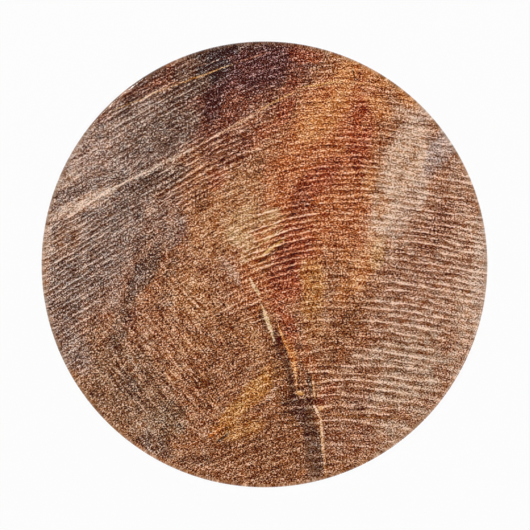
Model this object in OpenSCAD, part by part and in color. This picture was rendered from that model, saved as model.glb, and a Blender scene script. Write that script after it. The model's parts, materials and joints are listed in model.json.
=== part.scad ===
// Round cutting board of tempered glass. A picture of sawn wood is printed on the back of the
// glass, a white coat covers the print, and four rubber feet are stuck to the coat.
// The origin is under the middle of the board, on the surface that the feet stand on.
// X is to the right and Y away from the user, with the picture the right way up. Z is up.

/* [Glass disc] */
// Diameter of the glass
board_d = 305; // [200:5:400]
// Thickness of the glass
glass_t = 4; // [3:0.5:6]
// Radius of the rounded, polished upper edge
edge_r = 2.2; // [1:0.1:2.4]
// Width of the small bevel along the lower edge
bevel = 0.4; // [0.2:0.1:0.5]

/* [Print] */
// Bare ring of glass between the bevel and the print
print_inset = 0.2; // [0.1:0.1:4]
// Thickness of one pass of ink
ink_t = 0.05; // [0.03:0.01:0.1]
// Width of a growth-ring line
ring_line_w = 1.3; // [0.6:0.1:1.8]
// Distance from one growth-ring line to the next at the front of the board
ring_pitch_front = 5.6; // [4:0.1:9]
// The same distance at the back of the board, where the log grew more slowly
ring_pitch_back = 3.6; // [3.2:0.1:9]
// How far a growth-ring line strays from even spacing
ring_stray = 0.5; // [0:0.1:0.8]
// Gap between two inks that lie side by side, so that neither runs over the other
ink_gap = 0.05; // [0.02:0.01:0.1]

/* [White coat] */
// How far the white coat stays inside the print
coat_inset = 0.3; // [0.1:0.1:2]
// Thickness of the white coat
coat_t = 0.15; // [0.1:0.05:0.4]

/* [Feet] */
// Diameter of a foot at its glued end
foot_d = 13; // [8:0.5:20]
// Height of a foot
foot_h = 3.2; // [2.5:0.1:6]
// Draft of a foot's side, in degrees
foot_draft = 8; // [0:1:12]
// Radius of a foot's lower edge
foot_edge_r = 1; // [0.5:0.1:1.5]
// Distance from the rim of the glass to the middle of a foot
foot_inset = 24; // [16:1:60]
// Thickness of the glue pad over a foot
glue_t = 0.3; // [0.2:0.05:1]
// How far the glue pad stays inside the foot's edge
glue_inset = 0.4; // [0.2:0.1:1.5]

/* [Hidden] */
$fn = 96;

// Levels, from the resting surface up
glue_z = foot_h;
coat_z = glue_z + glue_t;
ground_z = coat_z + coat_t;
line_z = ground_z + ink_t;
glass_z = line_z + ink_t;

board_r = board_d / 2;
print_r = board_r - bevel - print_inset;
coat_r = print_r - coat_inset;

// The board was sawn from the side of a log, so its growth rings are arches, all of one bend: an
// arc round the log's middle that runs on, to the left, as a straight line down its slope
arch_share = 1.7;
arch_x_share = 0.465;
arch_r = board_r * arch_share;
arch_x = board_r * arch_x_share;
arch_slope = 28;

// The lines end short of the print's edge, so the lowest and the highest arch only touch this circle
line_r = print_r - ring_line_w;
lowest_top = arch_r - sqrt(pow(arch_r + line_r, 2) - pow(arch_x, 2));
highest_top = arch_r + (line_r - arch_r + arch_x * sin(arch_slope)) / cos(arch_slope);
first_top = lowest_top + ring_pitch_front;
last_top = highest_top - ring_pitch_back;
mean_pitch = (ring_pitch_front + ring_pitch_back) / 2;
ring_count = floor((last_top - first_top) / mean_pitch) + 1;
golden_angle = 137.5;

// Cracks of the pictured log. Each row is a place on the crack's middle line and half the
// crack's width there, all as shares of the board's radius.
long_crack_shares = [
    [-0.062, 0.012, 0.003], [-0.01, -0.155, 0.007], [0.045, -0.335, 0.016],
    [0.09, -0.485, 0.024], [0.143, -0.61, 0.021], [0.185, -0.745, 0.029], [0.235, -0.93, 0.032]
];
side_crack_shares = [[0.235, -0.46, 0.004], [0.25, -0.54, 0.009], [0.262, -0.63, 0.005]];
top_crack_shares = [[0.403, 0.885, 0.003], [0.412, 0.85, 0.006], [0.42, 0.8, 0.003]];
crack_shares = [long_crack_shares, side_crack_shares, top_crack_shares];

CORNERS = ["front_left", "front_right", "back_right", "back_left"];
corner_step = 360 / len(CORNERS);
first_corner = 225;

// Height of the top of arch number k, counted from the front. The steps shrink evenly on the way.
function arch_top(k) =
    let (shrink = (ring_pitch_front - ring_pitch_back) / ring_count)
    first_top + k * ring_pitch_front - k * k / 2 * shrink + ring_stray * sin(k * golden_angle);

// The unit vector along the middle line of a crack at its row i
function crack_run(rows, i) =
    let (
        before = rows[max(i - 1, 0)],
        after = rows[min(i + 1, len(rows) - 1)],
        run = [after.x - before.x, after.y - before.y]
    )
    run / norm(run);

// A corner of a crack's outline at row i, on side 1 or -1 of it, moved out by the given growth
function crack_corner(rows, i, side, growth) =
    let (
        run = crack_run(rows, i),
        end = i == 0 ? -1 : i == len(rows) - 1 ? 1 : 0,
        half_w = board_r * rows[i].z + growth
    )
    board_r * [rows[i].x, rows[i].y] + end * growth * run + side * half_w * [-run.y, run.x];

// One half of the glass in section: a quarter round above, a short upright side and a bevel below
module glass_section() {
    translate([board_r - edge_r, glass_t - edge_r])
        intersection() {
            circle(r = edge_r);
            square(edge_r);
        }
    polygon([
        [0, 0], [board_r - bevel, 0], [board_r, bevel], [board_r, glass_t - edge_r],
        [board_r - edge_r, glass_t - edge_r], [board_r - edge_r, glass_t], [0, glass_t]
    ]);
}

module glass_disc() {
    color("#cfe2dc", 0.35)
        translate([0, 0, glass_z])
            rotate_extrude()
                glass_section();
}

// The cracks, moved out by the given growth on every side
module crack_outlines(growth = 0) {
    for (rows = crack_shares)
        polygon(concat(
            [for (i = [0 : len(rows) - 1]) crack_corner(rows, i, 1, growth)],
            [for (i = [len(rows) - 1 : -1 : 0]) crack_corner(rows, i, -1, growth)]
        ));
}

// A line of the given width with its top at the given height: the straight run, then the arc
module arch_line(top, line_w) {
    translate([arch_x, top - arch_r])
        rotate(arch_slope) {
            translate([-2 * board_r, arch_r - line_w / 2])
                square([2 * board_r, line_w]);
            intersection() {
                square(2 * arch_r);
                difference() {
                    circle(r = arch_r + line_w / 2);
                    circle(r = arch_r - line_w / 2);
                }
            }
        }
}

// The growth-ring lines, moved out by the given growth on every side
module ring_outlines(growth = 0) {
    intersection() {
        circle(r = line_r + growth);
        for (k = [0 : ring_count - 1])
            arch_line(arch_top(k), ring_line_w + 2 * growth);
    }
}

module print_ring_lines() {
    color("#d3a684")
        translate([0, 0, line_z])
            linear_extrude(ink_t)
                difference() {
                    ring_outlines();
                    crack_outlines(ink_gap);
                }
}

module print_cracks() {
    color("#4b2d1d")
        translate([0, 0, line_z])
            linear_extrude(ink_t)
                crack_outlines();
}

// The ground pass lies behind the lines and the cracks, and rises between them
module print_ground() {
    color("#8f6142")
        difference() {
            translate([0, 0, ground_z])
                cylinder(r = print_r, h = 2 * ink_t);
            translate([0, 0, line_z])
                linear_extrude(2 * ink_t)
                    union() {
                        ring_outlines(ink_gap);
                        crack_outlines(ink_gap);
                    }
        }
}

module white_coat() {
    color("#f1f0ec")
        translate([0, 0, coat_z])
            cylinder(r = coat_r, h = coat_t);
}

// Puts its children at the middle of foot i, on the resting surface
module at_foot(i) {
    rotate(first_corner + i * corner_step)
        translate([board_r - foot_inset, 0])
            children();
}

module glue_pad(i) {
    color("#e9e6da")
        at_foot(i)
            translate([0, 0, glue_z])
                cylinder(r = foot_d / 2 - glue_inset, h = glue_t);
}

// One half of a foot in section: a drafted side that runs tangent into the lower edge's arc
module foot_section() {
    rise = foot_h - foot_edge_r + foot_edge_r * sin(foot_draft);
    arc_x = foot_d / 2 - rise * tan(foot_draft) - foot_edge_r * cos(foot_draft);
    translate([arc_x, foot_edge_r])
        circle(r = foot_edge_r);
    polygon([
        [0, 0], [arc_x, 0],
        [arc_x + foot_edge_r * cos(foot_draft), foot_edge_r - foot_edge_r * sin(foot_draft)],
        [foot_d / 2, foot_h], [0, foot_h]
    ]);
}

module foot(i) {
    color("#d9dcdb")
        at_foot(i)
            rotate_extrude()
                foot_section();
}

glass_disc();
print_ring_lines();
print_cracks();
print_ground();
white_coat();
for (i = [0 : len(CORNERS) - 1]) {
    glue_pad(i);
    foot(i);
}
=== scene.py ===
"""Round cutting board of dimpled tempered glass with a picture of sawn wood printed on its back."""
import json
import math
from functools import partial

import bpy
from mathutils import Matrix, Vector

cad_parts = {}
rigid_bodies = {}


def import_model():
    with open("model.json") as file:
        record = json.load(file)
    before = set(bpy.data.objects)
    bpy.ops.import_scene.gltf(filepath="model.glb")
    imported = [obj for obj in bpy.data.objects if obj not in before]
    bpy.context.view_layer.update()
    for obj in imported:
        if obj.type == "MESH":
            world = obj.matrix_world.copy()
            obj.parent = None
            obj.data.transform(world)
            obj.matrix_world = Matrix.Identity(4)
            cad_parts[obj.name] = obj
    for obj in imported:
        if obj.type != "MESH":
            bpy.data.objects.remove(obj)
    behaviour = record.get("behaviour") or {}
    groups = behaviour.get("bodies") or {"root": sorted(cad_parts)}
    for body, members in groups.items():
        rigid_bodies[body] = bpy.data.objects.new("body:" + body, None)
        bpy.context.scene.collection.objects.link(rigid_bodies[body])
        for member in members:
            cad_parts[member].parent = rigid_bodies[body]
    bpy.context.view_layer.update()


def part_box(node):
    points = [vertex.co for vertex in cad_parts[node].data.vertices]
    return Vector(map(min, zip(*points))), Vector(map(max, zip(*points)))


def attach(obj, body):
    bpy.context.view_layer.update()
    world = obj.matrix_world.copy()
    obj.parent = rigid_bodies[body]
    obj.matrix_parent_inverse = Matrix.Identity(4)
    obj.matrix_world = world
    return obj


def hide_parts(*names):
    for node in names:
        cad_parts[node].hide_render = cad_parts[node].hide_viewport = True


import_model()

# Sizes, in metres, from the solids and from what such glass has
MM = 0.001
glass_low, glass_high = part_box("glass_disc")
print_low, print_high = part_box("print_ground")
BOARD_R = glass_high[0]
GLASS_TOP = glass_high[2]
GLASS_BOTTOM = glass_low[2]
EDGE_R = 2.2 * MM           # radius of the rounded upper edge
BEVEL = 0.4 * MM            # width of the small bevel at the back
PRINT_R = print_high[0]
PRINT_T = print_high[2] - print_low[2]
HAIR_GAP = 0.01 * MM        # keeps the ink and the glass from sharing one plane
DIMPLE_PITCH = 2.0 * MM
DIMPLE_DEPTH = 0.12 * MM
DIMPLE_ROUND = 0.7          # how softly one dimple goes over into the next
DIMPLE_STRAY = 0.9          # how far the dimples stray from even places
DOME_SHARE = 0.9            # height of a dimple's dome, as a share of the depth
SWELL_SHARE = 0.5           # height of the broad swell under the dimples, in the same terms
SWELL_SCALE = 0.45          # how fine the swell is against the dimples
DIMPLE_FADE = (0.985, 0.997)    # shares of the flat face's radius between which both die out
NET_STEPS = 272             # across the glass, so that its faces are 1.1 mm wide
ARC_STEPS = 7               # of those, the ones that go round the upper edge, on each side
DIAGONAL = 1e-6             # settles which way a point on the net's diagonals belongs
SEAM = 0.02 * MM            # points nearer than this are one
CREASE = math.radians(30)   # edges sharper than this stay sharp
PRINT_SIDES = 720           # round the print, so that its rim shows no corners

# The photograph's frame, in its pixels
PHOTO_SIDE = 530
DISC_MIDDLE = (264.5, 264.4)
DISC_WIDE = 446
PIXEL_MM = 2 * BOARD_R / MM / DISC_WIDE

MATH, VECTOR, MIX, RANGE = "ShaderNodeMath", "ShaderNodeVectorMath", "ShaderNodeMix", "ShaderNodeMapRange"
NOISE, JOIN_XYZ, SPLIT_XYZ = "ShaderNodeTexNoise", "ShaderNodeCombineXYZ", "ShaderNodeSeparateXYZ"
GAMMA, PLACE, LIGHT_PATH = "ShaderNodeGamma", "ShaderNodeTexCoord", "ShaderNodeLightPath"
PRINCIPLED, BUMP, MIX_SHADER = "ShaderNodeBsdfPrincipled", "ShaderNodeBump", "ShaderNodeMixShader"
OUTPUT = "ShaderNodeOutputMaterial"

# Sockets of a Mix node have like names, so they are called by number: how much, from and to for
# numbers and for colours, and the mixed colour that comes out
SHARE, FROM_NUMBER, TO_NUMBER, FROM_COLOUR, TO_COLOUR = 0, 2, 3, 6, 7
MIXED_COLOUR = 2


def spot(px, py):
    """A place on the board, in mm from its middle, from its pixel in the photograph."""
    return ((px - DISC_MIDDLE[0]) * PIXEL_MM, (DISC_MIDDLE[1] - py) * PIXEL_MM, 0.0)


def linear(code):
    """An sRGB hex colour as linear red, green, blue and alpha."""
    parts = [int(code[i:i + 2], 16) / 255 for i in (1, 3, 5)]
    return [c / 12.92 if c <= 0.04045 else ((c + 0.055) / 1.055) ** 2.4 for c in parts] + [1.0]


def put(tree, kind, inputs=(), out=0, **settings):
    """Adds a node with its settings, sets or links its inputs, and gives one of its outputs."""
    made = tree.nodes.new(kind)
    for name, value in settings.items():
        setattr(made, name, value)
    pairs = inputs.items() if isinstance(inputs, dict) else enumerate(inputs)
    for key, value in pairs:
        if isinstance(value, bpy.types.NodeSocket):
            tree.links.new(value, made.inputs[key])
        elif value is not None:
            made.inputs[key].default_value = value
    return made.outputs[out] if len(made.outputs) else made


def new_material(name):
    """An empty node material, and its tree."""
    material = bpy.data.materials.new(name)
    material.use_nodes = True
    material.node_tree.nodes.clear()
    return material, material.node_tree


# The printed picture of sawn wood. Growth rings run over it as arches, all of one bend, steep at
# the left and level at the right.
ARCH_PX = 296                 # middle of the bend of an arch, in the photograph
ARCH_X = spot(ARCH_PX, 0)[0]  # and in mm
ARCH_RUN = 55.0               # half the width of the bend
ARCH_TILT = 0.2               # slope of an arch in the middle of its bend
ARCH_RISE = 0.42              # how much steeper it is far to the left, and how much less far to the right
RING_NARROW = 3.8             # distance between rings at the top of the picture, in mm
RING_WIDE = 6.0               # and at the bottom
RING_TURN = -35.0             # height at which one goes over to the other
RING_BLEND = 60.0             # and over how far
RING_WANDER = (46, 11, 0.8)   # clouds that push the rings about: length and width, and reach in rings

# Places across a ring are shares of its width, and a reach says where a line is full and where it ends
THREAD_SHARE, THREAD_REACH = 0.78, (0.03, 0.20)
FURROW_SHARE, FURROW_REACH = 0.42, (0.05, 0.34)
FURROW_TINT = [0.55, 0.37, 0.25, 1.0]    # what a full furrow leaves of the colour
THREAD_LIFT = 0.54                       # how much lighter a full thread is
DASHES = (8, 8, 1.0)                     # clouds that break a thread into dashes
DASH_STEP = 37.0                         # from the clouds of one ring to those of the next
DASH_RANGE = (-0.35, 0.35, 0.35, 1.1)    # from the clouds' own range to a thread's strength
RING_LUCK = (0.5, 1.1)                   # strength of the faintest and of the clearest ring

# Clouds that push places about: a broad and a fine one each, with size and reach in mm
STAIN_DRIFTS = ((24, 3.0), (5.0, 2.6))
LINE_DRIFTS = ((13, 1.2), (2.0, 0.55))

# The inks that the stains are made of
INKS = {
    "wood": "#9b623e", "mauve": "#876a5e", "pale mauve": "#a68679", "bone": "#c9a38a", "blush": "#c5a390",
    "umber": "#593626", "black umber": "#250906", "maroon": "#54201a", "oxblood": "#3d0906",
    "red brown": "#6f2f17", "rust": "#9a4016", "deep rust": "#83310a", "amber": "#ae5f2e", "gold": "#c27b45",
    "ochre": "#b37333", "tan": "#ac7349", "cream": "#ca9f73", "rose": "#b0775a", "pink brown": "#986347",
    "pink tan": "#b0836a", "grey tan": "#b38e76", "brown": "#82461a", "moss": "#78563d",
    "cold brown": "#684838", "burnt umber": "#501806", "ash rose": "#ac8f85",
}

# The stains, each over the ones before it: ink, middle in the photograph, half its length and half its
# width in the photograph's pixels, slope in degrees, and strength
STAINS = [
    # broad fields
    ("amber", (310, 190), 170, 62, 66, 1.0),
    ("mauve", (86, 225), 150, 78, 66, 1.0),
    ("mauve", (130, 140), 100, 50, 28, 1.0),
    ("pink tan", (435, 290), 135, 66, 84, 1.0),
    ("grey tan", (402, 370), 76, 46, 25, 0.95),
    ("tan", (228, 215), 62, 36, 52, 0.9),
    ("brown", (225, 350), 66, 40, 30, 0.5),
    ("moss", (125, 385), 80, 50, -50, 0.55),
    ("brown", (270, 445), 85, 34, 2, 0.7),
    # the dark top
    ("red brown", (228, 108), 74, 40, 22, 0.95),
    ("rose", (246, 122), 26, 7, 28, 0.7),
    ("red brown", (232, 152), 28, 14, 40, 0.6),
    ("cold brown", (172, 128), 44, 26, 30, 0.85),
    ("maroon", (255, 66), 80, 32, 10, 1.0),
    ("red brown", (160, 74), 60, 18, 32, 0.85),
    ("umber", (183, 92), 26, 12, 40, 0.8),
    ("oxblood", (213, 96), 36, 12, 84, 0.9),
    ("black umber", (216, 50), 34, 13, 14, 1.0),
    ("umber", (190, 62), 26, 10, 35, 0.7),
    ("red brown", (300, 76), 16, 18, 60, 0.7),
    ("rust", (305, 57), 22, 10, -10, 0.6),
    ("rust", (262, 135), 26, 10, 35, 0.5),
    # gold and rust, upper right
    ("gold", (324, 112), 50, 22, 50, 0.95),
    ("gold", (346, 74), 26, 13, 62, 0.85),
    ("amber", (312, 92), 18, 9, 40, 0.6),
    ("rust", (360, 134), 50, 16, 80, 0.95),
    ("gold", (380, 106), 22, 12, -50, 0.7),
    ("rust", (318, 180), 44, 16, 42, 0.95),
    ("deep rust", (300, 200), 24, 11, 62, 0.85),
    ("rust", (292, 262), 50, 26, 80, 0.9),
    ("deep rust", (283, 268), 28, 15, 70, 0.7),
    ("amber", (350, 215), 54, 18, 84, 0.75),
    # cream middle
    ("cream", (242, 224), 30, 18, 60, 0.5),
    ("cream", (268, 218), 18, 10, 44, 0.75),
    ("gold", (264, 236), 18, 8, 10, 0.6),
    ("cream", (245, 240), 22, 10, -30, 0.6),
    ("brown", (204, 196), 22, 12, 70, 0.6),
    ("gold", (258, 262), 16, 8, 75, 0.6),
    # pale streak and the right side
    ("blush", (413, 140), 54, 20, 74, 0.85),
    ("bone", (404, 172), 60, 29, 68, 1.0),
    ("bone", (384, 216), 50, 21, 60, 1.0),
    ("gold", (407, 95), 22, 11, -55, 0.9),
    ("gold", (364, 262), 44, 15, 76, 0.7),
    ("pink tan", (460, 184), 40, 14, -72, 0.85),
    ("blush", (482, 285), 72, 14, 86, 0.95),
    ("pink brown", (434, 232), 46, 19, 60, 0.95),
    ("pink brown", (426, 272), 34, 15, 10, 0.75),
    ("pink brown", (408, 292), 22, 12, 60, 0.6),
    ("oxblood", (257, 93), 10, 6, 20, 0.6),       # in the dark top
    ("wood", (443, 342), 14, 10, 40, 0.65),
    ("pink brown", (441, 372), 14, 9, -40, 0.6),
    # right of the long crack
    ("ochre", (314, 294), 42, 14, 82, 0.7),
    ("gold", (346, 290), 24, 11, 65, 0.65),
    ("brown", (350, 322), 36, 14, 55, 0.85),
    ("wood", (362, 380), 26, 18, 40, 0.9),
    ("rust", (326, 396), 22, 8, 50, 0.45),
    ("pink brown", (352, 436), 44, 24, 5, 0.75),
    ("grey tan", (392, 428), 24, 13, 0, 0.8),
    # lower middle
    ("rust", (288, 330), 26, 11, -75, 0.7),
    ("tan", (190, 296), 48, 24, -50, 0.9),
    ("grey tan", (150, 340), 14, 9, -30, 0.4),
    ("blush", (231, 271), 20, 6, -58, 0.5),       # left of the knot
    ("tan", (252, 340), 34, 12, -70, 0.8),
    ("brown", (226, 328), 26, 12, -60, 0.8),
    ("tan", (190, 346), 18, 14, 30, 0.7),
    ("brown", (206, 382), 20, 12, -40, 0.9),
    ("tan", (174, 374), 14, 10, 60, 0.6),
    ("ochre", (262, 384), 50, 13, 46, 0.95),
    ("ochre", (230, 416), 30, 10, 44, 0.8),
    ("brown", (206, 402), 12, 8, 40, 0.6),
    # lower left
    ("umber", (146, 270), 42, 13, 60, 0.85),
    ("umber", (140, 243), 18, 8, 60, 0.5),
    ("umber", (172, 268), 20, 8, 60, 0.5),
    ("mauve", (176, 232), 24, 10, 64, 0.6),
    ("mauve", (136, 284), 18, 8, 60, 0.45),
    ("pale mauve", (78, 358), 24, 13, -60, 0.6),
    ("blush", (66, 178), 26, 10, 30, 0.5),
    ("cold brown", (122, 322), 40, 12, 70, 0.6),
    ("umber", (70, 312), 22, 12, 60, 0.4),
    ("umber", (128, 386), 18, 11, -60, 0.55),
    ("umber", (165, 300), 14, 9, 60, 0.4),
    ("moss", (168, 420), 24, 26, 80, 0.7),
    # upper left
    ("pale mauve", (98, 150), 44, 22, 30, 0.8),
    ("blush", (84, 202), 50, 10, 25, 0.8),
    ("cold brown", (158, 180), 42, 15, 24, 0.85),
    ("cold brown", (124, 206), 20, 12, 40, 0.7),
    ("tan", (68, 238), 30, 16, 70, 0.25),
    ("red brown", (108, 108), 30, 10, 42, 0.45),
    # along the long crack
    ("brown", (286, 378), 50, 17, -70, 0.85),
    ("brown", (296, 404), 34, 22, -66, 0.9),
    ("umber", (301, 412), 24, 8, -70, 0.7),
    ("umber", (315, 448), 34, 11, -78, 0.8),
    ("umber", (196, 462), 24, 8, 0, 0.4),
    ("burnt umber", (282, 349), 26, 9, -72, 0.8),
    ("burnt umber", (300, 404), 22, 15, -60, 0.6),
    # smaller patches: along the ridge and the dark top
    ("rust", (286, 108), 13, 6, 35, 0.7),
    ("red brown", (208, 154), 13, 9, 60, 0.7),
    ("red brown", (248, 140), 14, 6, 35, 0.6),
    ("pink brown", (260, 108), 14, 5, 28, 0.7),
    ("umber", (181, 75), 15, 8, 30, 0.8),
    ("umber", (159, 100), 13, 7, 35, 0.5),
    ("cold brown", (130, 143), 28, 13, 38, 0.55),
    ("cold brown", (102, 133), 12, 6, 35, 0.5),
    # the pale streak's sides
    ("ash rose", (441, 150), 38, 15, 62, 1.0),
    ("blush", (414, 198), 30, 13, 60, 0.9),
    ("gold", (370, 186), 24, 9, 80, 0.6),
    ("cream", (378, 254), 20, 9, 75, 0.6),
    ("blush", (398, 228), 17, 11, 60, 0.7),
    ("gold", (344, 258), 18, 8, 78, 0.55),
    ("bone", (405, 115), 18, 13, -50, 0.45),
    ("bone", (474, 229), 22, 7, -80, 0.5),
    ("bone", (465, 330), 24, 10, 66, 0.5),
    # right and lower right
    ("pink brown", (396, 269), 15, 8, 40, 0.6),
    ("grey tan", (417, 412), 16, 9, -30, 0.7),
    ("red brown", (360, 402), 17, 9, 20, 0.5),
    ("brown", (332, 359), 16, 8, 50, 0.6),
    ("pink brown", (451, 346), 13, 8, 40, 0.6),
    ("red brown", (436, 219), 18, 9, 55, 0.4),
    ("bone", (464, 300), 26, 9, 86, 0.5),
    ("ochre", (306, 270), 16, 9, 80, 0.6),
    ("wood", (387, 408), 14, 7, 0, 0.6),
    # middle
    ("deep rust", (305, 214), 15, 8, 50, 0.6),
    ("rust", (282, 119), 15, 7, 50, 0.7),
    ("deep rust", (291, 87), 13, 8, 30, 0.7),
    ("amber", (327, 93), 13, 7, 30, 0.6),
    ("amber", (366, 121), 13, 6, 60, 0.5),
    ("amber", (364, 226), 36, 8, 78, 0.7),
    ("gold", (382, 207), 15, 7, 70, 0.5),
    ("rust", (218, 179), 15, 10, 50, 0.5),
    ("tan", (315, 330), 22, 13, 80, 0.95),
    ("rust", (277, 305), 15, 8, -75, 0.55),
    ("gold", (271, 246), 11, 6, 30, 0.6),
    ("amber", (310, 360), 28, 7, -72, 0.5),
    ("brown", (283, 419), 15, 9, -60, 0.6),
    ("brown", (271, 477), 42, 7, 0, 0.6),
    ("brown", (211, 402), 14, 8, 40, 0.7),
    # left and lower left
    ("mauve", (166, 216), 40, 18, 68, 0.55),
    ("red brown", (182, 234), 13, 7, 60, 0.5),
    ("wood", (175, 282), 15, 9, -60, 0.6),
    ("red brown", (133, 316), 15, 8, 60, 0.5),
    ("mauve", (70, 345), 34, 20, -60, 0.75),
    ("cold brown", (82, 284), 15, 8, 60, 0.5),
    ("blush", (46, 248), 30, 9, 84, 0.75),
    ("grey tan", (142, 422), 30, 14, -70, 0.5),
    ("cold brown", (156, 445), 26, 12, -30, 0.7),
    ("cream", (248, 254), 14, 8, 60, 0.6),
    ("brown", (267, 266), 9, 7, 60, 0.7),
    ("pale mauve", (114, 300), 15, 8, 60, 0.55),
    # last touches, all over
    ("grey tan", (388, 447), 24, 9, 38, 0.55),
    ("grey tan", (419, 421), 20, 9, 48, 0.55),
    ("blush", (481, 228), 26, 8, 82, 0.75),
    ("black umber", (213, 69), 25, 17, 20, 1.0),
    ("black umber", (147, 79), 26, 9, 32, 0.65),
    ("umber", (192, 87), 25, 14, 30, 1.0),
    ("black umber", (262, 46), 30, 6, 4, 0.4),
    ("umber", (131, 186), 24, 9, 26, 0.7),
    ("umber", (130, 102), 26, 9, 34, 0.6),
    ("pink tan", (377, 316), 26, 13, 75, 0.7),
    ("ochre", (242, 429), 30, 13, 20, 0.65),
    ("deep rust", (285, 104), 18, 8, 30, 0.75),
    ("rust", (344, 127), 20, 9, 84, 0.4),
    ("gold", (376, 76), 24, 10, -35, 0.6),
    ("pink tan", (45, 278), 26, 6, 88, 0.5),
]

# Where each kind of shape starts to fade and where it is gone: squares of the distance from its middle,
# as a share of the way to its edge
STAIN_SOFT = (0.2, 1.0)
RING_FIELD_SOFT = (0.2, 1.3)
TORN_SOFT = (0.2, 1.4)
MARK_SOFT = (0.2, 1.1)

# Where the rings show clearly: middle, half its length and half its width in the photograph's
# pixels, slope, and the share of full relief
RING_FIELDS = [
    ((80, 262), 84, 44, 80, 0.85),
    ((150, 195), 70, 40, 28, 0.5),
    ((205, 165), 70, 34, 40, 0.9),
    ((282, 240), 56, 44, 60, 1.0),
    ((345, 178), 56, 50, 70, 0.8),
    ((440, 240), 110, 56, 85, 0.75),
    ((400, 330), 80, 56, 60, 0.8),
    ((350, 395), 80, 50, 0, 0.75),
    ((165, 90), 90, 34, 25, 0.8),
    ((235, 305), 50, 34, 30, 0.8),
]
QUIET_RINGS = 0.42    # their relief elsewhere

# Fine marks drawn over the rings, in the photograph's pixels too: what each is, its middle, half
# its length and half its width, slope, colour and strength. Those called a gap also calm the specks.
MARKS = [
    ("long ridge, wide left end", (80, 203), 36, 3.2, 24, "#c9ae9e", 0.75),
    ("long ridge, bright step", (108, 192), 12, 3.0, 26, "#dcc6b8", 0.75),
    ("long ridge", (128, 181), 29, 1.4, 25, "#d8beae", 0.85),
    ("long ridge", (172, 159), 40, 1.3, 27, "#d0b29d", 0.85),
    ("long ridge", (230, 128), 42, 1.3, 29, "#d4a888", 0.85),
    ("long ridge", (277, 101), 26, 1.2, 27, "#d29c66", 0.8),
    ("long ridge", (322, 84), 30, 1.2, 10, "#d9a262", 0.75),
    ("long ridge, right end", (370, 84), 28, 1.0, -5, "#cf8f5c", 0.7),
    ("upper line", (136, 101), 40, 0.9, 23, "#b58c62", 0.8),
    ("upper line", (200, 76), 42, 1.0, 20, "#b9844e", 0.85),
    ("upper line, right end", (252, 57), 24, 0.8, 16, "#a5664a", 0.7),
    ("faint line over it", (212, 62), 30, 0.7, 16, "#93604a", 0.6),
    ("faint line under it", (150, 108), 44, 0.7, 24, "#b0907e", 0.5),
    ("light band of the knot", (272, 248), 20, 1.7, 36, "#dcb070", 0.85),
    ("dark band of the knot", (272, 253), 22, 2.0, 34, "#5e2c10", 0.75),
    ("light band of the knot", (270, 237), 20, 1.5, 37, "#dab27c", 0.7),
    ("dark band of the knot", (276, 242), 20, 1.4, 37, "#7c431c", 0.6),
    ("light band of the knot", (274, 225), 20, 1.3, 39, "#d3ac78", 0.6),
    ("dark band of the knot", (278, 230), 18, 1.2, 39, "#8a5428", 0.5),
    ("shadow beside the bank", (263, 321), 17, 2.8, -72, "#5f361b", 0.7),
    ("light bank of the crack, top", (255, 288), 14, 2.0, -63, "#dfbc92", 0.85),
    ("light bank of the crack", (268, 322), 24, 2.2, -69, "#e2c498", 0.95),
    ("rust beside the crack", (290, 330), 11, 2.6, -10, "#7a3412", 0.7),
    ("rust bank", (292, 356), 22, 4.6, -76, "#bd6e30", 0.8),
    ("gap of the crack, upper", (281, 345), 24, 3.4, -75, "#5c2202", 0.95),
    ("gap of the crack, middle", (290, 377), 24, 3.6, -84, "#562a12", 0.95),
    ("right bank", (283, 338), 18, 1.4, -68, "#e39650", 0.85),
    ("right bank, middle", (295, 368), 24, 1.2, -86, "#e3a060", 0.85),
    ("thin crack", (301, 349), 15, 0.9, -48, "#5c2c12", 0.75),
    ("knee of the crack, dark", (293, 403), 15, 3.0, 4, "#4a1a02", 0.85),
    ("knee of the crack, dark line", (291, 411), 15, 1.7, 14, "#501f06", 0.75),
    ("knob on the knee", (300, 393), 5, 3.0, -15, "#dea464", 0.9),
    ("side crack", (310, 385), 14, 3.2, -84, "#57301a", 0.9),
    ("side crack, light edge", (314, 387), 15, 1.2, -86, "#d8a372", 0.85),
    ("gap of the crack, lower", (310, 416), 22, 5.6, -80, "#673c22", 0.9),
    ("gap of the crack, by the rim", (313, 460), 34, 9.8, -84, "#6a4330", 0.85),
    ("small knob", (321, 408), 4, 2.4, 20, "#d99a5c", 0.8),
    ("right bank, lower", (317, 412), 10, 1.6, -60, "#e8ba92", 0.9),
    ("right bank, lower", (322, 437), 22, 1.9, -87, "#e6b68a", 0.95),
    ("right bank, by the rim", (325, 466), 18, 1.3, -86, "#d0925e", 0.8),
    ("top crack", (354, 74), 8, 0.9, -76, "#55240f", 0.95),
    ("little spur, light", (216, 431), 13, 2.4, 40, "#c87a3a", 0.9),
    ("little spur, dark", (223, 438), 9, 1.9, 40, "#3a1a0c", 0.9),
    ("scratch", (364, 126), 11, 0.8, 48, "#d09668", 0.75),
    ("scratch, lower right", (377, 352), 8, 0.9, 52, "#6b4a3c", 0.7),
    ("faint line, lower right", (365, 417), 40, 0.8, -3, "#c48a56", 0.5),
]

# Where the grain is torn across the rings, in the same terms, and the slope of the strokes there
TORN_FIELD = ((163, 365), 125, 78, 78)
TORN_SLOPE = math.radians(-50)
TORN_HIDES = 0.6      # share of the rings' relief that is lost there

# Clouds that lighten and darken the wood: their length and width in mm, and how far they go. The curls and
# both kinds of specks are painted glints and painted shade of the dimpled glass
GRAIN = (12, 3.4, 0.28)
TORN_STROKES = (14, 1.9, 0.56)
BROAD_GRAIN = (7.5, 5.0, 0.26)
CURLS = (2.3, 2.0, 1.0)
COARSE_SPECKS = (1.5, 1.1, 0.44)
FINE_SPECKS = (0.9, 0.8, 0.76)
WARMTH = (5.5, 3.6, 0.075)
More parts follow.
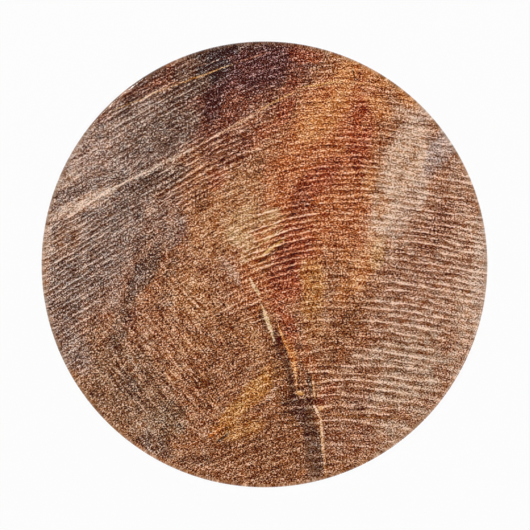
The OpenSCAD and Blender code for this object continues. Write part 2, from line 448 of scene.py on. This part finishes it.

# Pale curls of painted glint, as fine as the glass's dimples, lie where their clouds cross zero
CURL_WIDE = 0.13                    # in terms of the clouds
CURL_LIFT = 0.17                    # how much lighter they are
CURL_SHARE = 0.35                   # the share of the picture that they cover

# Tones are red, green and blue in the eye's even steps
CALM = 0.45                         # share of the specks that is lost in furrows and gaps and at the rim
PALE_INKS = (0.3, 0.6)              # green of a dark and of a pale ink
SPECKS_ON_PALE = (1.08, 0.76)       # how strong the specks are on each
# the light specks are painted glints of the lamps in the dimpled glass
SPECK_TONE = (0.92, 1.01, 1.05)     # light specks are a little cooler than the wood
WARM_TONE = (1.0, -0.1, -0.9)       # what makes a patch of wood warmer
DARKEST = (0.2, 0.05, 0.0)          # even the deepest furrow keeps a reddish brown
LIGHTEST = (0.96, 0.84, 0.77)
DISPLAY_GAMMA = 2.2                 # from those steps to light itself
GLASS_SHEEN = (0.004, 0.008, 0.014)     # light of the studio that the glass lays over the ink
LEAST_INK = (0.002, 0.002, 0.002)       # the least that any ink gives back

# Painted reflection of the glass's rounded edge: a paler band of the picture along the rim, ending in a thin
# grey line of painted shade
RIM_PAINTED_SHEEN = (BOARD_R - 2.7 * MM, BOARD_R - 1.7 * MM)
RIM_PAINTED_SHADE = (BOARD_R - 1.2 * MM, BOARD_R - 0.8 * MM)
RIM_SHEEN_TONE, RIM_SHEEN_SHARE = [0.72, 0.60, 0.52, 1.0], 0.3
RIM_SHADE_TONE, RIM_SHADE_SHARE = [0.42, 0.36, 0.33, 1.0], 0.6


def ellipse(tree, at, middle, long, wide, slope, soft, strength):
    """How far a place lies inside an ellipse, from strength in its middle to none outside it.

    A place's z is 1, so that a dot product gives its distance from one of the ellipse's axes."""
    squares = 0.0
    mx, my, _ = spot(*middle)
    for half, turn in ((long, slope), (wide, slope + 90)):
        half, turn = half * PIXEL_MM, math.radians(turn)
        cos, sin = math.cos(turn) / half, math.sin(turn) / half
        away = put(tree, VECTOR, (at, (cos, sin, -mx * cos - my * sin)), out="Value", operation="DOT_PRODUCT")
        squares = put(tree, MATH, (away, away, squares), operation="MULTIPLY_ADD")
    return put(tree, RANGE, (squares, *soft, strength, 0.0), interpolation_type="SMOOTHSTEP")


def drift(tree, at, size, reach, detail=2.0):
    """Moves places about by up to about reach mm, in clouds of the given size."""
    cloud = put(tree, NOISE, {"Vector": at, "Scale": 1 / size, "Detail": detail}, out="Color")
    push = put(tree, VECTOR, (cloud, (0.5, 0.5, 0.5)), operation="SUBTRACT")
    push = put(tree, VECTOR, (push, (2 * reach, 2 * reach, 0)), operation="MULTIPLY")
    return put(tree, VECTOR, (at, push), operation="ADD")


def swing(tree, at, long, wide, gain, detail=2.0, rough=0.5):
    """Clouds of the given length and width that go up and down about zero by up to about gain."""
    at = put(tree, VECTOR, (at, (1 / long, 1 / wide, 0)), operation="MULTIPLY")
    cloud = put(tree, NOISE, {"Vector": at, "Scale": 1.0, "Detail": detail, "Roughness": rough})
    cloud = put(tree, MATH, (cloud, 0.5), operation="SUBTRACT")
    return put(tree, MATH, (cloud, 2 * gain), operation="MULTIPLY")


def along_arches(tree, at):
    """Places in terms of the growth rings: x as it is, and the height of the arch there in mm."""
    add = partial(put, tree)
    x = add(SPLIT_XYZ, (at,))
    y = x.node.outputs["Y"]
    run = add(MATH, (x, ARCH_X), operation="SUBTRACT")
    bend = add(MATH, (run, run, ARCH_RUN ** 2), operation="MULTIPLY_ADD")
    bend = add(MATH, (bend,), operation="SQRT")
    level = add(MATH, (x, -ARCH_TILT, y), operation="MULTIPLY_ADD")
    return x, add(MATH, (bend, ARCH_RISE, level), operation="MULTIPLY_ADD")


def ring_relief(tree, ragged, fields):
    """The bright thread of each ring and the dark furrow beside it, each from 0 to 1."""
    add = partial(put, tree)
    x, height = along_arches(tree, ragged)
    off = add(MATH, (height, RING_TURN + ARCH_RISE * ARCH_RUN), operation="SUBTRACT")
    bent = add(MATH, (off, off, RING_BLEND ** 2), operation="MULTIPLY_ADD")
    bent = add(MATH, (bent,), operation="SQRT")
    even, skew = (1 / RING_NARROW + 1 / RING_WIDE) / 2, (1 / RING_NARROW - 1 / RING_WIDE) / 2
    count = add(MATH, (bent, skew, add(MATH, (off, even), operation="MULTIPLY")), operation="MULTIPLY_ADD")
    wander = swing(tree, add(JOIN_XYZ, (x, height, 0.0)), *RING_WANDER)
    count = add(MATH, (count, wander), operation="ADD")
    whole = add(MATH, (count,), operation="FLOOR")
    within = add(MATH, (count,), operation="FRACT")

    # each ring's thread breaks up into dashes of its own
    row = add(MATH, (whole, DASH_STEP), operation="MULTIPLY")
    dash = swing(tree, add(JOIN_XYZ, (x, row, 0.0)), *DASHES, detail=3.0)
    dash = add(RANGE, (dash, *DASH_RANGE))
    luck = add("ShaderNodeTexWhiteNoise", {"W": whole}, noise_dimensions="1D")
    luck = add(RANGE, (luck, 0, 1, *RING_LUCK))
    depth = add(MATH, (dash, luck), operation="MULTIPLY")
    depth = add(MATH, (depth, fields), operation="MULTIPLY")

    lines = []
    for share, reach in ((THREAD_SHARE, THREAD_REACH), (FURROW_SHARE, FURROW_REACH)):
        away = add(MATH, (within, share), operation="SUBTRACT")
        away = add(MATH, (away,), operation="ABSOLUTE")
        lines.append(add(RANGE, (away, *reach, 1.0, 0.0), interpolation_type="SMOOTHSTEP"))
    thread, furrow = lines
    thread = add(MATH, (thread, depth), operation="MULTIPLY")
    clear = add(MATH, (fields, depth), operation="MAXIMUM")
    return thread, add(MATH, (furrow, clear), operation="MULTIPLY")


def stained_wood(tree, wavy):
    """The wood's colour, with every stain laid over it in turn."""
    colour = linear(INKS["wood"])
    for ink, middle, long, wide, slope, strength in STAINS:
        share = ellipse(tree, wavy, middle, long, wide, slope, STAIN_SOFT, strength)
        colour = put(tree, MIX, {SHARE: share, FROM_COLOUR: colour, TO_COLOUR: linear(INKS[ink])},
                     out=MIXED_COLOUR, data_type="RGBA")
    return colour


def ring_fields(tree, wavy):
    """How clearly the rings show at a place, and how far the grain is torn there."""
    fields = QUIET_RINGS
    for middle, long, wide, slope, strength in RING_FIELDS:
        share = ellipse(tree, wavy, middle, long, wide, slope, RING_FIELD_SOFT, strength)
        fields = put(tree, MATH, (share, fields), operation="MAXIMUM")
    torn = ellipse(tree, wavy, *TORN_FIELD, TORN_SOFT, 1.0)
    kept = put(tree, MATH, (torn, -TORN_HIDES, 1.0), operation="MULTIPLY_ADD")
    return put(tree, MATH, (fields, kept), operation="MULTIPLY"), torn


def fine_marks(tree, ragged, colour, calm):
    """Draws every mark over the colour, and adds the crack's gaps to the calm places."""
    for name, middle, long, wide, slope, ink, strength in MARKS:
        share = ellipse(tree, ragged, middle, long, wide, slope, MARK_SOFT, strength)
        if name.startswith("gap"):
            calm = put(tree, MATH, (share, calm), operation="MAXIMUM")
        colour = put(tree, MIX, {SHARE: share, FROM_COLOUR: colour, TO_COLOUR: linear(ink)},
                     out=MIXED_COLOUR, data_type="RGBA")
    return colour, calm


def wood_figure(tree, mm, arched, torn):
    """Light and dark strokes, along the rings or, where the grain is torn, across them."""
    add = partial(put, tree)
    along = swing(tree, arched, *GRAIN, detail=3.0, rough=0.6)
    cos, sin = math.cos(TORN_SLOPE), math.sin(TORN_SLOPE)
    forward = add(VECTOR, (mm, (cos, sin, 0)), out="Value", operation="DOT_PRODUCT")
    aside = add(VECTOR, (mm, (-sin, cos, 0)), out="Value", operation="DOT_PRODUCT")
    across = swing(tree, add(JOIN_XYZ, (forward, aside, 0.0)), *TORN_STROKES)
    figure = add(MIX, {SHARE: torn, FROM_NUMBER: along, TO_NUMBER: across})
    return add(MATH, (swing(tree, arched, *BROAD_GRAIN, detail=1.0), figure), operation="ADD")


def painted_glass_specks(tree, mm, ragged, arched):
    """Painted glints and painted shade standing for the dimpled glass's play of light over the print: light
    and dark specks, with pale curls among them.
    """
    add = partial(put, tree)
    curl = add(MATH, (swing(tree, ragged, *CURLS, detail=1.0),), operation="ABSOLUTE")
    curl = add(RANGE, (curl, 0.0, CURL_WIDE, CURL_LIFT * (1 - CURL_SHARE), -CURL_LIFT * CURL_SHARE),
               interpolation_type="SMOOTHSTEP")
    specks = add(MATH, (swing(tree, arched, *COARSE_SPECKS, detail=0.0), curl), operation="ADD")
    return add(MATH, (swing(tree, mm, *FINE_SPECKS, detail=0.0), specks), operation="ADD")


def picture_of_wood(tree):
    """Gives the colour of the print, drawn from the places of the rings, stains and cracks, with painted
    glints and shade of the dimpled glass and a painted reflection and dark line along the rim.
    """
    add = partial(put, tree)
    place = add(PLACE, out="Object")
    mm = add(VECTOR, (place, (1 / MM, 1 / MM, 0), (0, 0, 1)), operation="MULTIPLY_ADD")
    broad, fine = STAIN_DRIFTS
    wavy = drift(tree, drift(tree, mm, *broad), *fine, detail=3.0)
    broad, fine = LINE_DRIFTS
    ragged = drift(tree, drift(tree, mm, *broad), *fine)
    x, height = along_arches(tree, ragged)
    arched = add(JOIN_XYZ, (x, height, 0.0))

    colour = stained_wood(tree, wavy)
    fields, torn = ring_fields(tree, wavy)
    thread, furrow = ring_relief(tree, ragged, fields)
    colour = add(MIX, {SHARE: furrow, FROM_COLOUR: colour, TO_COLOUR: FURROW_TINT}, out=MIXED_COLOUR,
                 data_type="RGBA", blend_type="MULTIPLY")
    colour, calm = fine_marks(tree, ragged, colour, furrow)

    # to the eye's even steps of light and dark, where specks and threads add up plainly
    toned = add(GAMMA, (colour, 1 / DISPLAY_GAMMA))
    figure = wood_figure(tree, mm, arched, torn)
    # painted glints and painted shade of the dimpled glass, laid into the ink's colour
    specks = painted_glass_specks(tree, mm, ragged, arched)
    from_middle = add(VECTOR, (place,), out="Value", operation="LENGTH")
    # a painted reflection (band) and a painted dark line (line) of the rounded glass edge, along the rim
    band = add(RANGE, (from_middle, *RIM_PAINTED_SHEEN, 0.0, 1.0), interpolation_type="SMOOTHSTEP")
    line = add(RANGE, (from_middle, *RIM_PAINTED_SHADE, 0.0, 1.0), interpolation_type="SMOOTHSTEP")

    # the specks are weaker in calm places and on pale inks
    calm = add(MATH, (band, calm), operation="MAXIMUM")
    kept = add(MATH, (calm, -CALM, 1.0), operation="MULTIPLY_ADD")
    specks = add(MATH, (specks, kept), operation="MULTIPLY")
    green = add(SPLIT_XYZ, (toned,), out="Y")
    kept = add(RANGE, (green, *PALE_INKS, *SPECKS_ON_PALE))
    specks = add(MATH, (specks, kept), operation="MULTIPLY")

    # light and dark, and warm and cool, go over the stains
    # the painted glints and shade of the glass join the wood's own figure and threads
    light = add(MATH, (figure, specks), operation="ADD")
    light = add(MATH, (thread, THREAD_LIFT, light), operation="MULTIPLY_ADD")
    toned = add(VECTOR, (add(JOIN_XYZ, (light, light, light)), SPECK_TONE, toned), operation="MULTIPLY_ADD")
    warmth = swing(tree, wavy, *WARMTH)
    toned = add(VECTOR, (add(JOIN_XYZ, (warmth, warmth, warmth)), WARM_TONE, toned), operation="MULTIPLY_ADD")
    # the rim's painted reflection, a paler band, and its painted shade, a grey line, are mixed into the
    # picture
    for share, tone, most in ((band, RIM_SHEEN_TONE, RIM_SHEEN_SHARE), (line, RIM_SHADE_TONE, RIM_SHADE_SHARE)):
        share = add(MATH, (share, most), operation="MULTIPLY")
        toned = add(MIX, {SHARE: share, FROM_COLOUR: toned, TO_COLOUR: tone}, out=MIXED_COLOUR,
                    data_type="RGBA")
    toned = add(VECTOR, (toned, DARKEST), operation="MAXIMUM")
    toned = add(VECTOR, (toned, LIGHTEST), operation="MINIMUM")
    inked = add(GAMMA, (toned, DISPLAY_GAMMA))

    # the glass lays a little of the studio's light over the ink, so the ink is that much deeper
    inked = add(VECTOR, (inked, GLASS_SHEEN), operation="SUBTRACT")
    return add(VECTOR, (inked, LEAST_INK), operation="MAXIMUM")


def printed_wood():
    """Cured ink behind glass: matt, with no sheen of its own. Its colour is the picture's, with painted
    glints and shade of the dimpled glass and a painted rim reflection laid in.
    """
    material, tree = new_material("printed_ink_wood_picture")
    colour = picture_of_wood(tree)
    surface = put(tree, PRINCIPLED, {"Base Color": colour, "Roughness": 0.75, "Specular IOR Level": 0.1})
    put(tree, OUTPUT, (surface,))
    return material


def pressed_glass():
    """Soda-lime glass, tempered, its face rolled with dimples: clear, glossy, faintly green at the edge."""
    material, tree = new_material("tempered_soda_lime_glass")
    place = put(tree, PLACE, out="Object")
    dents = put(tree, NOISE, {"Vector": place, "Scale": 1 / (1.3 * MM), "Detail": 1.0})
    bump = put(tree, BUMP, {"Strength": 0.5, "Distance": 0.16 * MM, "Height": dents})
    glass = put(tree, PRINCIPLED, {"Base Color": linear("#fdfefd"), "Roughness": 0.06, "IOR": 1.52,
                                   "Transmission Weight": 1.0, "Normal": bump})
    clear = put(tree, "ShaderNodeBsdfTransparent", (linear("#fdfefd"),))
    lamp_ray = put(tree, LIGHT_PATH, out="Is Shadow Ray")
    surface = put(tree, MIX_SHADER, (lamp_ray, glass, clear))
    put(tree, OUTPUT, (surface,))
    return material


def screened_white():
    """White sealing ink laid on through a screen: matt and dense, with a faint cloth-fine tooth."""
    material, tree = new_material("screen_printed_white_ink")
    place = put(tree, PLACE, out="Object")
    clouds = put(tree, NOISE, {"Vector": place, "Scale": 1 / (18 * MM), "Detail": 3.0})
    colour = put(tree, MIX, {SHARE: clouds, FROM_COLOUR: linear("#efeeea"), TO_COLOUR: linear("#f6f5f2")},
                 out=MIXED_COLOUR, data_type="RGBA")
    tooth = put(tree, NOISE, {"Vector": place, "Scale": 1 / (0.5 * MM), "Detail": 1.0})
    bump = put(tree, BUMP, {"Strength": 0.25, "Distance": 0.03 * MM, "Height": tooth})
    rough = put(tree, RANGE, {"Value": clouds, "From Min": 0.3, "From Max": 0.7,
                              "To Min": 0.62, "To Max": 0.74})
    surface = put(tree, PRINCIPLED, {"Base Color": colour, "Roughness": rough, "Normal": bump})
    put(tree, OUTPUT, (surface,))
    return material


def acrylic_glue():
    """Clear acrylic pad glue: milky through its thickness, with small trapped bubbles."""
    material, tree = new_material("acrylic_pad_glue")
    place = put(tree, PLACE, out="Object")
    bubbles = put(tree, "ShaderNodeTexVoronoi", {"Vector": place, "Scale": 1 / (1.6 * MM)})
    share = put(tree, RANGE, {"Value": bubbles, "From Min": 0.1, "From Max": 0.25,
                              "To Min": 1.0, "To Max": 0.0})
    colour = put(tree, MIX, {SHARE: share, FROM_COLOUR: linear("#e6e3d6"), TO_COLOUR: linear("#f5f3ea")},
                 out=MIXED_COLOUR, data_type="RGBA")
    surface = put(tree, PRINCIPLED, {"Base Color": colour, "Roughness": 0.3})
    put(tree, OUTPUT, (surface,))
    return material


def cast_silicone():
    """Cast clear silicone: cloudy, softly glossy, darker and rougher in its lowest millimetre, where it
    stands on the table.
    """
    material, tree = new_material("cast_clear_silicone")
    place = put(tree, PLACE, out="Object")
    clouds = put(tree, NOISE, {"Vector": place, "Scale": 1 / (4 * MM), "Detail": 3.0})
    height = put(tree, SPLIT_XYZ, (place,), out="Z")
    # darker and rougher towards the bottom
    near_table = put(tree, RANGE, {"Value": height, "From Min": 0.1 * MM, "From Max": 1.2 * MM,
                             "To Min": 0.6, "To Max": 0.0})
    share = put(tree, MATH, (clouds, near_table), operation="ADD")
    colour = put(tree, MIX, {SHARE: share, FROM_COLOUR: linear("#d7dbda"), TO_COLOUR: linear("#bcc0bf")},
                 out=MIXED_COLOUR, data_type="RGBA")
    rough = put(tree, RANGE, {"Value": share, "From Min": 0.2, "From Max": 1.0,
                              "To Min": 0.28, "To Max": 0.55})
    surface = put(tree, PRINCIPLED, {"Base Color": colour, "Roughness": rough, "Subsurface Weight": 0.4,
                                     "Subsurface Scale": 2 * MM})
    put(tree, OUTPUT, (surface,))
    return material


def node_tree(name, sockets):
    """A Geometry Nodes tree with named inputs, and its group input node's outputs by name."""
    tree = bpy.data.node_groups.new(name, "GeometryNodeTree")
    tree.interface.new_socket("Geometry", in_out="OUTPUT", socket_type="NodeSocketGeometry")
    for socket, kind in sockets:
        tree.interface.new_socket(socket, in_out="INPUT", socket_type=kind)
    entry = tree.nodes.new("NodeGroupInput")
    return tree, {s.name: s for s in entry.outputs if s.name}


def grow(name, tree, values):
    """Runs a Geometry Nodes tree with its inputs set, and keeps the result as a plain mesh."""
    seed_mesh = bpy.data.meshes.new(name)
    seed = bpy.data.objects.new(name, seed_mesh)
    bpy.context.scene.collection.objects.link(seed)
    modifier = seed.modifiers.new(name, "NODES")
    modifier.node_group = tree
    keys = {item.name: item.identifier for item in tree.interface.items_tree if item.in_out == "INPUT"}
    for label, value in values.items():
        modifier[keys[label]] = value
    result = bpy.data.meshes.new_from_object(seed.evaluated_get(bpy.context.evaluated_depsgraph_get()))
    bpy.data.objects.remove(seed)
    result.name = name
    piece = bpy.data.objects.new(name, result)
    bpy.context.scene.collection.objects.link(piece)
    return piece


def way_out(add, x, y):
    """A net point's direction from the middle, once the square net is a disc, and its longer reach."""
    reach_x, reach_y = (add(MATH, (reach,), operation="ABSOLUTE") for reach in (x, y))
    least = add(MATH, (reach_y, DIAGONAL), operation="SUBTRACT")
    sideways = add(MATH, (reach_x, least), operation="GREATER_THAN")
    more = add(MIX, {SHARE: sideways, FROM_NUMBER: y, TO_NUMBER: x})
    less = add(MIX, {SHARE: sideways, FROM_NUMBER: x, TO_NUMBER: y})
    turn = add(MATH, (add(MATH, (less, more), operation="DIVIDE"), math.pi / 4), operation="MULTIPLY")
    side = add(MATH, (more,), operation="SIGN")
    lead = add(MATH, (add(MATH, (turn,), operation="COSINE"), side), operation="MULTIPLY")
    lag = add(MATH, (add(MATH, (turn,), operation="SINE"), side), operation="MULTIPLY")
    out_x = add(MIX, {SHARE: sideways, FROM_NUMBER: lag, TO_NUMBER: lead})
    out_y = add(MIX, {SHARE: sideways, FROM_NUMBER: lead, TO_NUMBER: lag})
    return out_x, out_y, more


def rounded_edge(add, given, reach):
    """Each point's radius, how far it lies below the face, and its share of the way over the flat face.

    The net's rings are shared out from the middle: the flat face, the quarter round, the side, the bevel."""
    half = add(MATH, (given["Steps"], 0.5), operation="MULTIPLY")
    ring = add(MATH, (add(MATH, (reach,), operation="ABSOLUTE"), half), operation="MULTIPLY")
    side_end = add(MATH, (half, 1), operation="SUBTRACT")
    arc_end = add(MATH, (half, 2), operation="SUBTRACT")
    flat_end = add(MATH, (arc_end, given["Arc steps"]), operation="SUBTRACT")
    flat = add(RANGE, (ring, 0.0, flat_end, 0.0, 1.0))
    arc = add(RANGE, (ring, flat_end, arc_end, 0.0, math.pi / 2))
    down = add(RANGE, (ring, arc_end, side_end, 0.0, 1.0))
    under = add(RANGE, (ring, side_end, half, 0.0, 1.0))

    edge, bevel = given["Edge radius"], given["Bevel"]
    flat_r = add(MATH, (given["Board radius"], edge), operation="SUBTRACT")
    arc_run = add(MATH, (add(MATH, (arc,), operation="SINE"), edge), operation="MULTIPLY")
    radius = add(MATH, (flat, flat_r, arc_run), operation="MULTIPLY_ADD")
    bevel_run = add(MATH, (under, bevel), operation="MULTIPLY")
    radius = add(MATH, (radius, bevel_run), operation="SUBTRACT")

    arc_fall = add(MATH, (1.0, add(MATH, (arc,), operation="COSINE")), operation="SUBTRACT")
    not_side = add(MATH, (edge, bevel), operation="ADD")
    side_height = add(MATH, (given["Thickness"], not_side), operation="SUBTRACT")
    fall = add(MATH, (down, side_height, bevel_run), operation="MULTIPLY_ADD")
    fall = add(MATH, (arc_fall, edge, fall), operation="MULTIPLY_ADD")
    return radius, fall, flat


def dimples(add, given, place, flat):
    """Depth of the dimples: domes with furrows between them on a broad swell, gone before the edge."""
    scale = add(MATH, (1.0, given["Dimple pitch"]), operation="DIVIDE")
    domes = add("ShaderNodeTexVoronoi", {"Vector": place, "Scale": scale, "Smoothness": DIMPLE_ROUND,
                                         "Randomness": DIMPLE_STRAY}, feature="SMOOTH_F1")
    swell = add(NOISE, {"Vector": place, "Scale": add(MATH, (scale, SWELL_SCALE), operation="MULTIPLY"),
                        "Detail": 1.0})
    swell = add(MATH, (swell, SWELL_SHARE), operation="MULTIPLY")
    depth = add(MATH, (domes, DOME_SHARE, swell), operation="MULTIPLY_ADD")
    depth = add(MATH, (depth, given["Dimple depth"]), operation="MULTIPLY")
    return add(MATH, (depth, add(RANGE, (flat, *DIMPLE_FADE, 1.0, 0.0))), operation="MULTIPLY")


def flat_back(add, given):
    """The flat back of the disc inside the bevel, facing down."""
    rim_points = add(MATH, (given["Steps"], 4.0), operation="MULTIPLY")
    back_r = add(MATH, (given["Board radius"], given["Bevel"]), operation="SUBTRACT")
    back = add("GeometryNodeMeshCircle", (rim_points, back_r), fill_type="NGON")
    level = add(JOIN_XYZ, (0.0, 0.0, given["Bottom level"]))
    back = add("GeometryNodeTransform", {"Geometry": back, "Translation": level})
    facing = add(SPLIT_XYZ, (add("GeometryNodeInputNormal"),), out="Z")
    upward = add(MATH, (facing, 0.0), operation="GREATER_THAN")
    return add("GeometryNodeFlipFaces", {"Mesh": back, "Selection": upward})


def dimpled_disc_tree():
    """A square net of points is drawn into a disc; its outer rings go round the edge to the back."""
    number, count = "NodeSocketFloat", "NodeSocketInt"
    tree, given = node_tree("dimpled_disc", [
        ("Board radius", number), ("Edge radius", number), ("Bevel", number), ("Thickness", number),
        ("Bottom level", number), ("Dimple pitch", number), ("Dimple depth", number), ("Steps", count),
        ("Arc steps", count), ("Glass", "NodeSocketMaterial")])
    add = partial(put, tree)
    points = add(MATH, (given["Steps"], 1), operation="ADD")
    net = add("GeometryNodeMeshGrid", (2.0, 2.0, points, points))
    x = add(SPLIT_XYZ, (add("GeometryNodeInputPosition"),))
    out_x, out_y, reach = way_out(add, x, x.node.outputs["Y"])
    radius, fall, flat = rounded_edge(add, given, reach)
    x, y = (add(MATH, (way, radius), operation="MULTIPLY") for way in (out_x, out_y))
    depth = dimples(add, given, add(JOIN_XYZ, (x, y, 0.0)), flat)
    top = add(MATH, (given["Bottom level"], given["Thickness"]), operation="ADD")
    level = add(MATH, (top, add(MATH, (fall, depth), operation="ADD")), operation="SUBTRACT")
    face = add("GeometryNodeSetPosition", {"Geometry": net, "Position": add(JOIN_XYZ, (x, y, level))})

    # the back closes it, and only the bevel's edges stay sharp
    joined = tree.nodes.new("GeometryNodeJoinGeometry")
    for part in (flat_back(add, given), face):
        tree.links.new(part, joined.inputs[0])
    whole = add("GeometryNodeMergeByDistance", {"Geometry": joined.outputs[0], "Distance": SEAM})
    whole = add("GeometryNodeSetShadeSmooth", {"Geometry": whole})
    crease = add(MATH, (add("GeometryNodeInputMeshEdgeAngle"), CREASE), operation="GREATER_THAN")
    whole = add("GeometryNodeSetShadeSmooth", {"Geometry": whole, "Selection": crease, "Shade Smooth": False},
                domain="EDGE")
    whole = add("GeometryNodeRealizeInstances", (whole,))
    whole = add("GeometryNodeSetMaterial", {"Geometry": whole, "Material": given["Glass"]})
    add("NodeGroupOutput", (whole,))
    return tree


def ink_layer_tree():
    """A thin round layer of ink with sharp sides."""
    number = "NodeSocketFloat"
    tree, given = node_tree("ink_layer", [
        ("Radius", number), ("Thickness", number), ("Top level", number), ("Sides", "NodeSocketInt"),
        ("Ink", "NodeSocketMaterial")])
    add = partial(put, tree)
    disc = add("GeometryNodeMeshCylinder", {"Vertices": given["Sides"], "Side Segments": 1,
                                            "Radius": given["Radius"], "Depth": given["Thickness"]})
    middle = add(MATH, (given["Thickness"], -0.5, given["Top level"]), operation="MULTIPLY_ADD")
    disc = add("GeometryNodeTransform", {"Geometry": disc, "Translation": add(JOIN_XYZ, (0.0, 0.0, middle))})
    disc = add("GeometryNodeRealizeInstances", (disc,))
    disc = add("GeometryNodeSetMaterial", {"Geometry": disc, "Material": given["Ink"]})
    add("NodeGroupOutput", (disc,))
    return tree


glass_piece = grow("glass_disc_dimpled", dimpled_disc_tree(), {
    "Board radius": BOARD_R, "Edge radius": EDGE_R, "Bevel": BEVEL,
    "Thickness": GLASS_TOP - GLASS_BOTTOM - HAIR_GAP, "Bottom level": GLASS_BOTTOM + HAIR_GAP,
    "Dimple pitch": DIMPLE_PITCH, "Dimple depth": DIMPLE_DEPTH, "Steps": NET_STEPS,
    "Arc steps": ARC_STEPS, "Glass": pressed_glass()})
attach(glass_piece, "root")
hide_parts("glass_disc")

print_piece = grow("print_wood_picture", ink_layer_tree(), {
    "Radius": PRINT_R, "Thickness": PRINT_T - HAIR_GAP, "Top level": GLASS_BOTTOM - HAIR_GAP,
    "Sides": PRINT_SIDES, "Ink": printed_wood()})
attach(print_piece, "root")
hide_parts("print_ring_lines", "print_cracks", "print_ground")

# The coat, the pads and the feet keep their solids and get their finishes
finishes = {"white_coat": screened_white(), "glue_pad_": acrylic_glue(), "foot_": cast_silicone()}
for start, finish in finishes.items():
    for solid in [o for o in bpy.data.objects if o.name.startswith(start) and o.type == "MESH"]:
        for material_slot in solid.material_slots:
            material_slot.material = finish


# Camera, straight above, as far off as frames the photograph's field at the height of the rim
LENS = 100.0
SENSOR = 36.0
CLIP = (0.01, 100.0)
frame_wide = PHOTO_SIDE * PIXEL_MM * MM
rim_level = (GLASS_TOP + GLASS_BOTTOM) / 2
camera_data = bpy.data.cameras.new("camera")
camera_data.lens, camera_data.sensor_width = LENS, SENSOR
camera = bpy.data.objects.new("camera", camera_data)
bpy.context.scene.collection.objects.link(camera)
aim = spot(PHOTO_SIDE / 2, PHOTO_SIDE / 2)
camera.location = (aim[0] * MM, aim[1] * MM, rim_level + frame_wide * LENS / SENSOR)
camera_data.clip_start, camera_data.clip_end = CLIP
bpy.context.scene.camera = camera


def soft_lamp(name, place, size, power):
    """A square lamp that faces the board."""
    data = bpy.data.lights.new(name, "AREA")
    data.shape, data.size, data.energy = "SQUARE", size, power
    lamp = bpy.data.objects.new(name, data)
    lamp.location = place
    lamp.rotation_euler = (-Vector(place)).to_track_quat("-Z", "Y").to_euler()
    bpy.context.scene.collection.objects.link(lamp)


soft_lamp("key", place=(-1.15, 1.35, 1.45), size=0.5, power=21.1)
soft_lamp("fill", place=(1.5, -0.7, 1.35), size=0.9, power=10.3)

# The studio room and its floor
CEILING_FADE = (0.35, 0.78)      # sines of the heights between which the walls go over to the ceiling
WALL_TO_CEILING = (0.9, 0.02)    # strength of each
FLOOR_HALF = 8.0
FLOOR_GLOW = 0.94                # share of plain white where the camera sees the floor


def studio_room():
    """Pale walls and a dark ceiling round the camera, so that the glass mirrors little light into it."""
    world = bpy.data.worlds.new("studio")
    world.use_nodes = True
    bpy.context.scene.world = world
    tree = world.node_tree
    tree.nodes.clear()
    up = put(tree, SPLIT_XYZ, (put(tree, PLACE, out="Generated"),), out="Z")
    strength = put(tree, RANGE, (up, *CEILING_FADE, *WALL_TO_CEILING), interpolation_type="SMOOTHSTEP")
    put(tree, "ShaderNodeOutputWorld", (put(tree, "ShaderNodeBackground", (linear("#f3f4f6"), strength)),))


def white_floor():
    """Matt white sweep, lifted to white where the camera sees it, with the board's shadow kept."""
    material, tree = new_material("matt_white_sweep")
    paint = put(tree, "ShaderNodeBsdfDiffuse", (linear("#f4f4f4"),))
    glow = put(tree, "ShaderNodeEmission", (linear("#ffffff"), 1.0))
    ray = put(tree, LIGHT_PATH).node.outputs
    through = put(tree, MATH, (ray["Is Glossy Ray"], ray["Is Transmission Ray"]), operation="MAXIMUM")
    seen = put(tree, MATH, (ray["Is Camera Ray"], through), operation="MAXIMUM")
    share = put(tree, MATH, (seen, FLOOR_GLOW), operation="MULTIPLY")
    put(tree, OUTPUT, (put(tree, MIX_SHADER, (share, paint, glow)),))
    return material


studio_room()
corners = [(x * FLOOR_HALF, y * FLOOR_HALF, 0) for x, y in ((-1, -1), (1, -1), (1, 1), (-1, 1))]
floor_mesh = bpy.data.meshes.new("floor")
floor_mesh.from_pydata(corners, [], [(0, 1, 2, 3)])
floor = bpy.data.objects.new("floor", floor_mesh)
floor_mesh.materials.append(white_floor())
bpy.context.scene.collection.objects.link(floor)

bpy.context.scene.view_settings.view_transform = "Standard"
